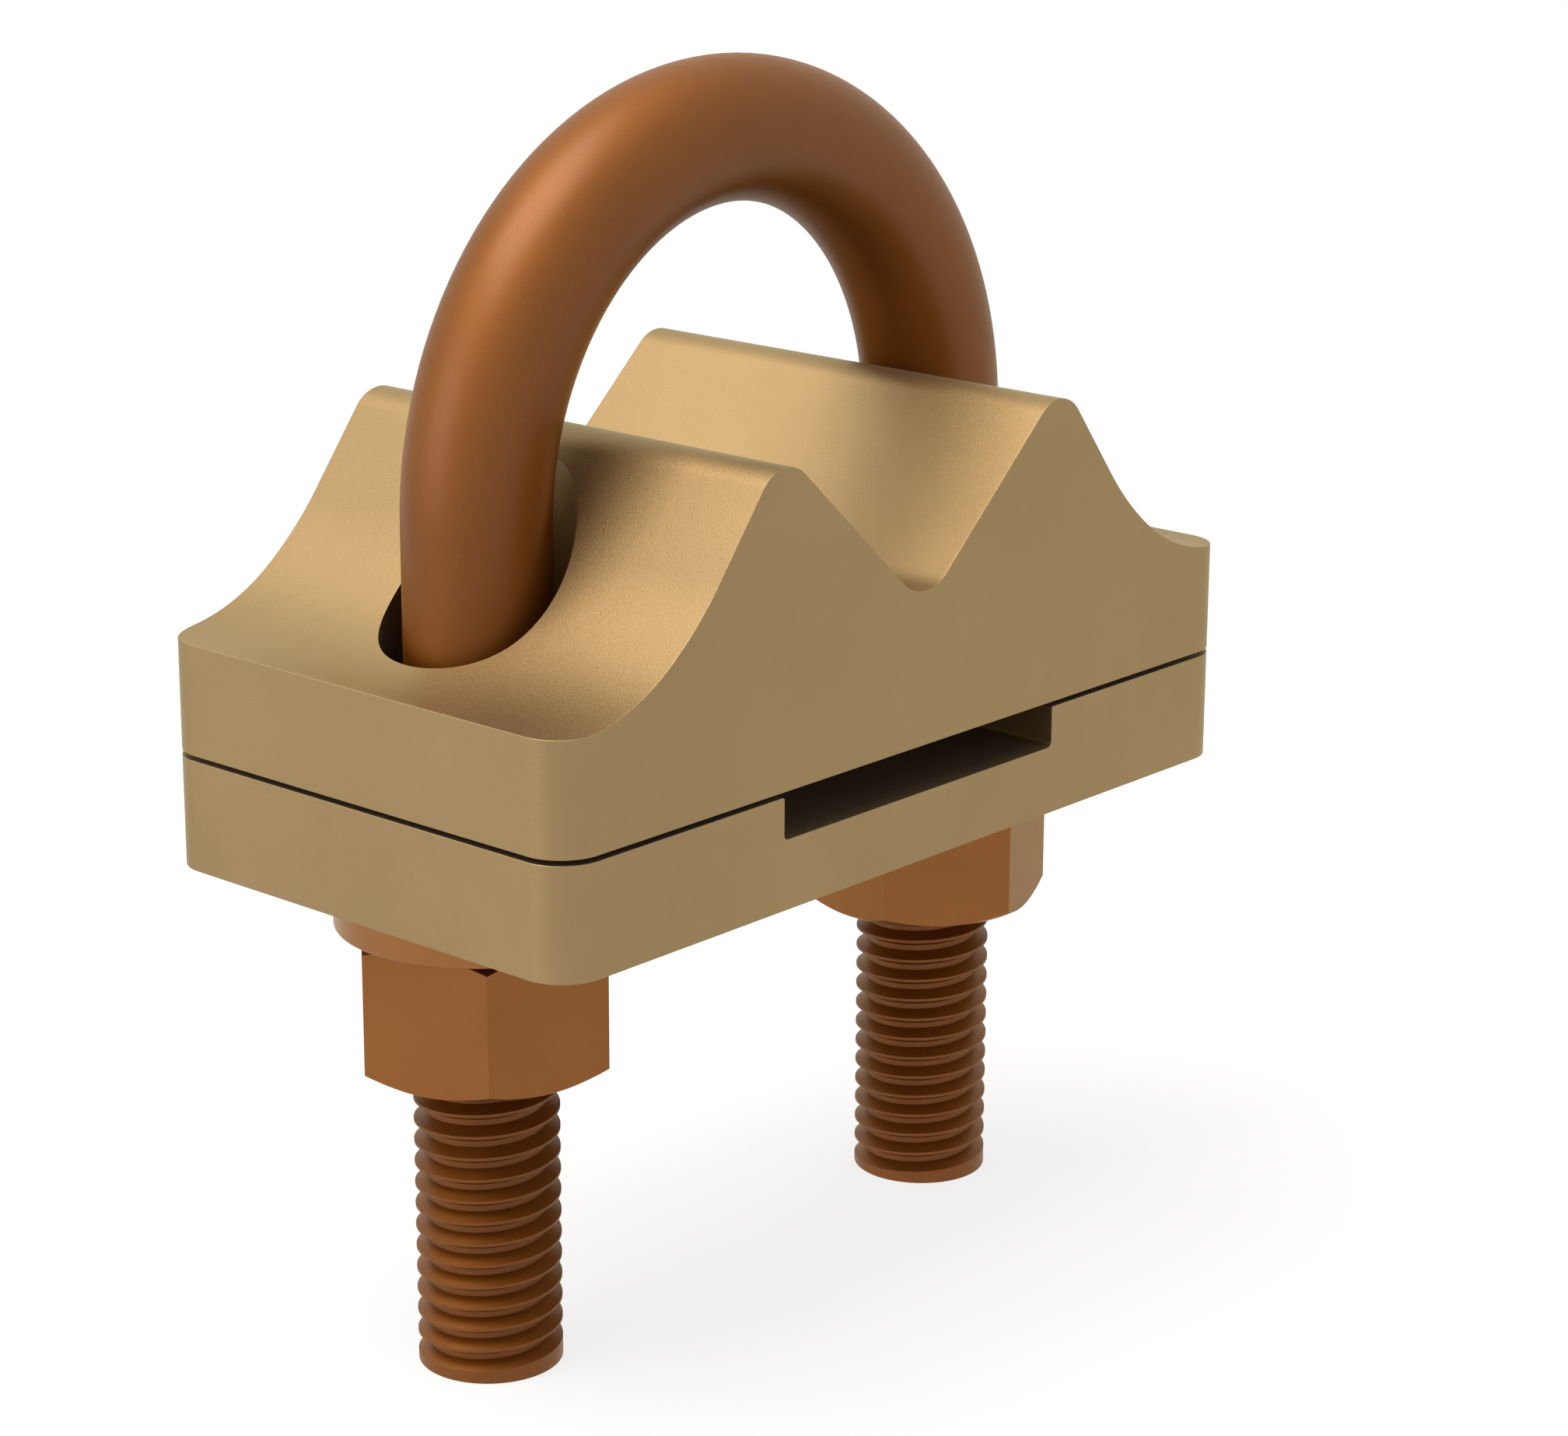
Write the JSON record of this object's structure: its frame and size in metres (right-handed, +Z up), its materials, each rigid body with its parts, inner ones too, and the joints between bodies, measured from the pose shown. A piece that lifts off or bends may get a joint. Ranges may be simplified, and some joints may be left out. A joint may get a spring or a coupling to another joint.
{
  "type": "u-bolt tape clamp",
  "caption": "Earthing clamp: a U-bolt draws a V-grooved saddle against a round rod, and a flat plate beneath it, with a channel across its top, grips a metal tape.",
  "frame": {"origin": "on the axis of the clamped rod, midway between the two legs", "axes": "+X runs from the left leg to the right leg, +Y along the rod and the tape, +Z up to the bend of the U-bolt"},
  "size_m": [0.0556, 0.0302, 0.07],
  "materials": {
    "copper_bar": "satin copper-coloured bar with cut threads on both legs",
    "cast_bronze": "satin golden bronze casting with a very fine grain",
    "washer_bronze": "satin turned bronze",
    "nut_bronze": "satin machined bronze"
  },
  "bodies": {
    "u_bolt": {"u_bolt": "copper_bar"},
    "lower_plate": {"lower_plate": "cast_bronze", "left_washer": "washer_bronze", "right_washer": "washer_bronze"},
    "saddle": {"saddle": "cast_bronze"},
    "left_nut": {"left_nut": "nut_bronze"},
    "right_nut": {"right_nut": "nut_bronze"}
  },
  "joints": [
    {"name": "clamp_travel", "type": "slide", "parent": "u_bolt", "child": "lower_plate", "axis": [0, 0, 1], "range_m": [-0.01625, 0]},
    {"name": "saddle_lift", "type": "slide", "parent": "lower_plate", "child": "saddle", "axis": [0, 0, 1], "range_m": [-0.00025, 0.0029]},
    {"name": "left_nut_turn", "type": "hinge", "parent": "lower_plate", "child": "left_nut", "pos_m": [-0.01862, 0, -0.03188], "axis": [0, 0, 1], "range_deg": [-4680, 0]},
    {"name": "right_nut_turn", "type": "hinge", "parent": "lower_plate", "child": "right_nut", "pos_m": [0.01862, 0, -0.03188], "axis": [0, 0, 1], "range_deg": [-4680, 0]}
  ],
  "couplings": [
    {"joint": "left_nut_turn", "follows": "clamp_travel", "rad_per_m": 5026.5},
    {"joint": "right_nut_turn", "follows": "clamp_travel", "rad_per_m": 5026.5}
  ]
}
